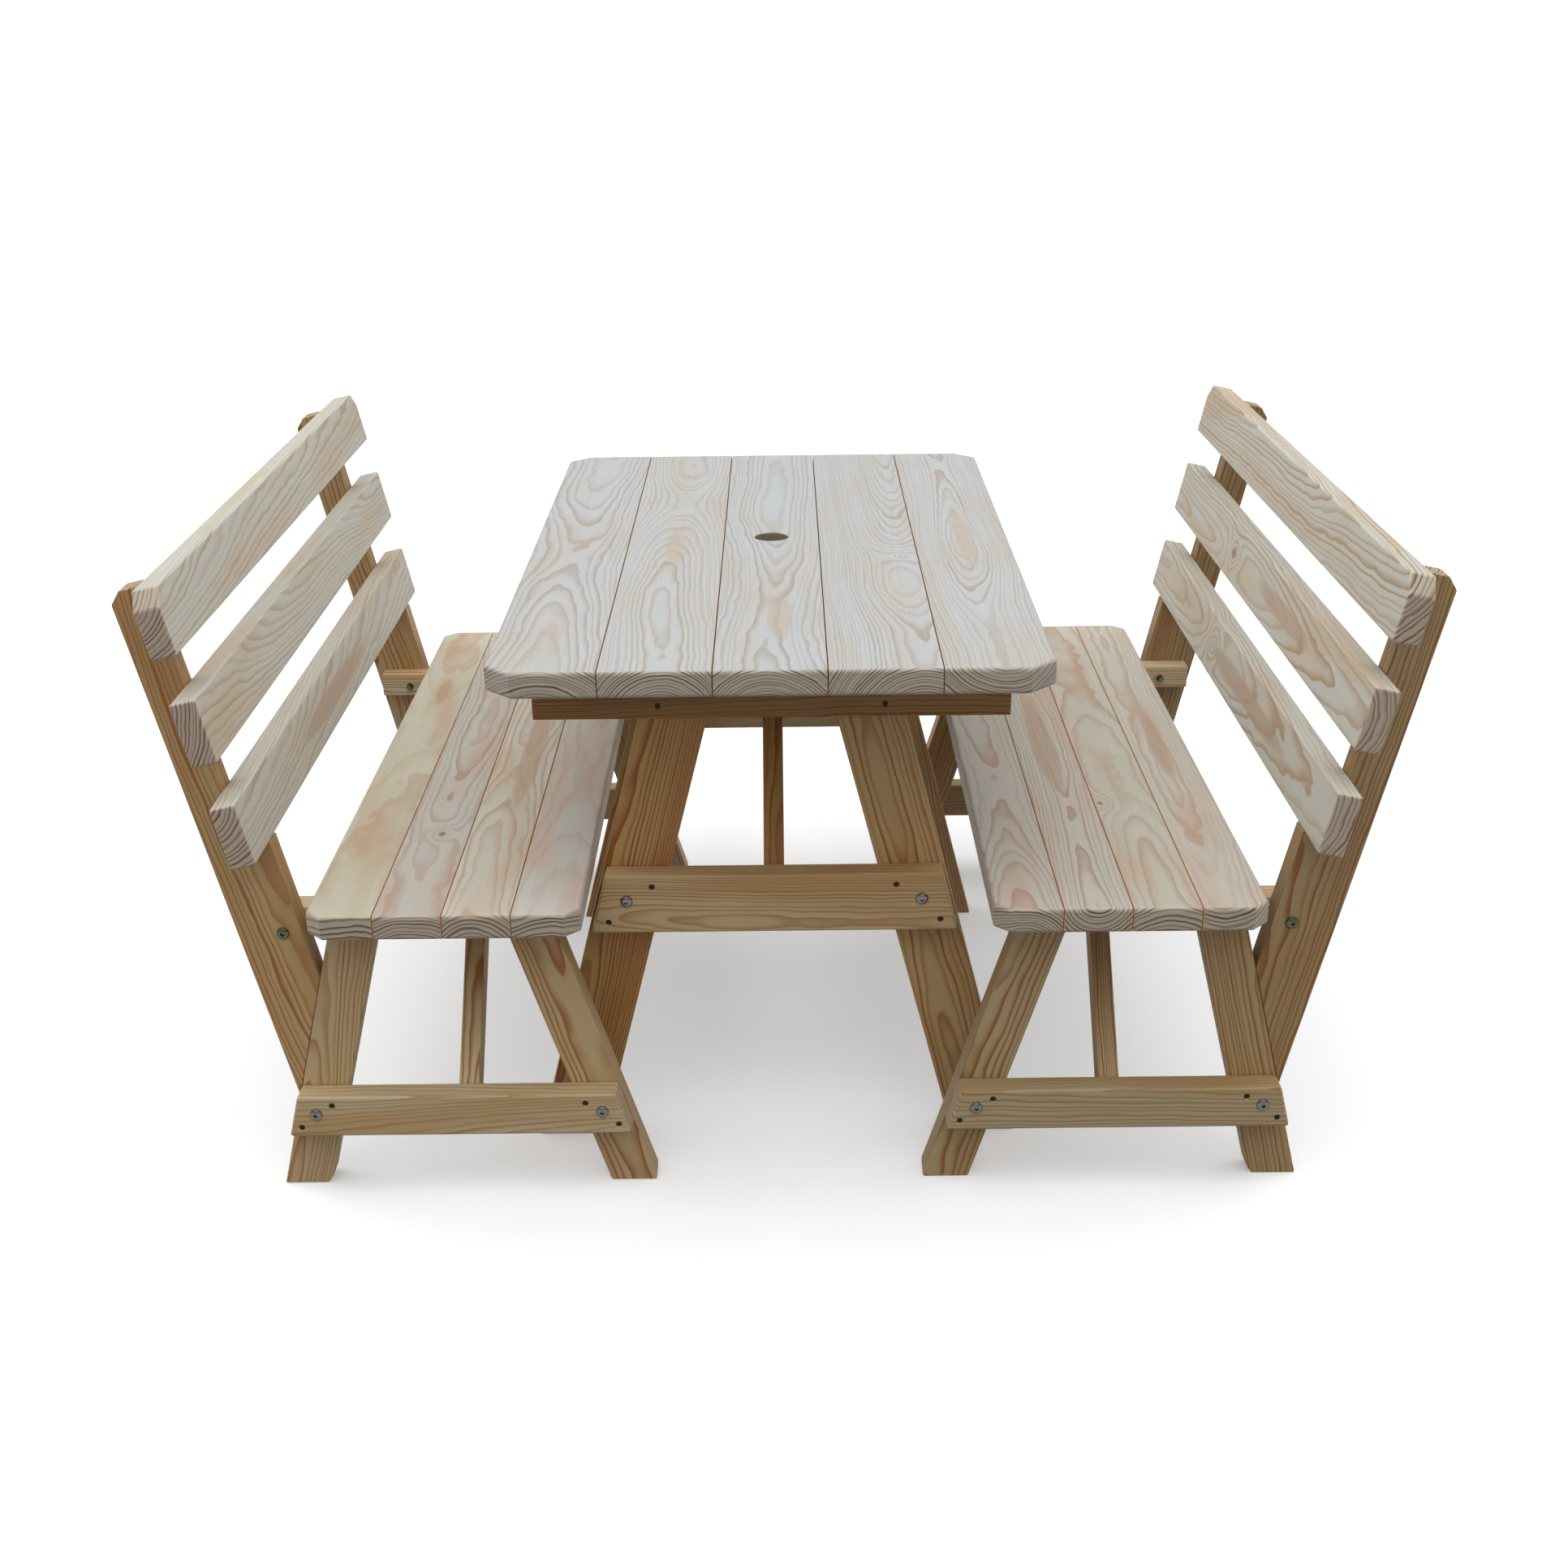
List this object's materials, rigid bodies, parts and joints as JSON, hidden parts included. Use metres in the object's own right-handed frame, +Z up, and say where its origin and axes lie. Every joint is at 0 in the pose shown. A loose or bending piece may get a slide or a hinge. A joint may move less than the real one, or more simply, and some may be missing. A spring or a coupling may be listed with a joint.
{
  "type": "picnic table",
  "caption": "Pine A-frame picnic table with an umbrella hole and separate benches with leaning slatted backrests, assembled board by board.",
  "frame": {"origin": "on the floor, at the middle of the box round the table and both benches", "axes": "+Z up; +X across the set from the left bench to the right bench; +Y along the boards from the front to the rear"},
  "size_m": [1.6564, 1.271, 0.8769],
  "materials": {
    "pale_pine": "planed and sanded, unfinished",
    "frame_pine": "planed, unfinished",
    "zinc_steel": "zinc plated"
  },
  "bodies": {
    "table": {"table_top_board_1": "pale_pine", "table_top_board_2": "pale_pine", "table_top_board_3": "pale_pine", "table_top_board_4": "pale_pine", "table_top_board_5": "pale_pine", "table_front_batten": "frame_pine", "table_front_rail": "frame_pine", "table_front_left_leg": "frame_pine", "table_front_right_leg": "frame_pine", "table_front_brace": "frame_pine", "table_rear_batten": "frame_pine", "table_rear_rail": "frame_pine", "table_rear_left_leg": "frame_pine", "table_rear_right_leg": "frame_pine", "table_rear_brace": "frame_pine"},
    "left_bench": {"left_seat_board_1": "pale_pine", "left_seat_board_2": "pale_pine", "left_seat_board_3": "pale_pine", "left_seat_board_4": "pale_pine", "left_back_slat_low": "pale_pine", "left_back_slat_middle": "pale_pine", "left_back_slat_top": "pale_pine", "left_front_rail": "frame_pine", "left_front_cleat": "frame_pine", "left_front_inner_leg": "frame_pine", "left_front_outer_leg": "frame_pine", "left_front_brace": "frame_pine", "left_front_post": "frame_pine", "left_front_post_bolt": "zinc_steel", "left_rear_rail": "frame_pine", "left_rear_cleat": "frame_pine", "left_rear_inner_leg": "frame_pine", "left_rear_outer_leg": "frame_pine", "left_rear_brace": "frame_pine", "left_rear_post": "frame_pine", "left_rear_post_bolt": "zinc_steel"},
    "right_bench": {"right_seat_board_1": "pale_pine", "right_seat_board_2": "pale_pine", "right_seat_board_3": "pale_pine", "right_seat_board_4": "pale_pine", "right_back_slat_low": "pale_pine", "right_back_slat_middle": "pale_pine", "right_back_slat_top": "pale_pine", "right_front_rail": "frame_pine", "right_front_cleat": "frame_pine", "right_front_inner_leg": "frame_pine", "right_front_outer_leg": "frame_pine", "right_front_brace": "frame_pine", "right_front_post": "frame_pine", "right_front_post_bolt": "zinc_steel", "right_rear_rail": "frame_pine", "right_rear_cleat": "frame_pine", "right_rear_inner_leg": "frame_pine", "right_rear_outer_leg": "frame_pine", "right_rear_brace": "frame_pine", "right_rear_post": "frame_pine", "right_rear_post_bolt": "zinc_steel"}
  },
  "joints": [
    {"name": "left_bench_slide", "type": "slide", "parent": "table", "child": "left_bench", "axis": [-1, 0, 0], "range_m": [0, 0.45]},
    {"name": "right_bench_slide", "type": "slide", "parent": "table", "child": "right_bench", "axis": [1, 0, 0], "range_m": [0, 0.45]}
  ]
}
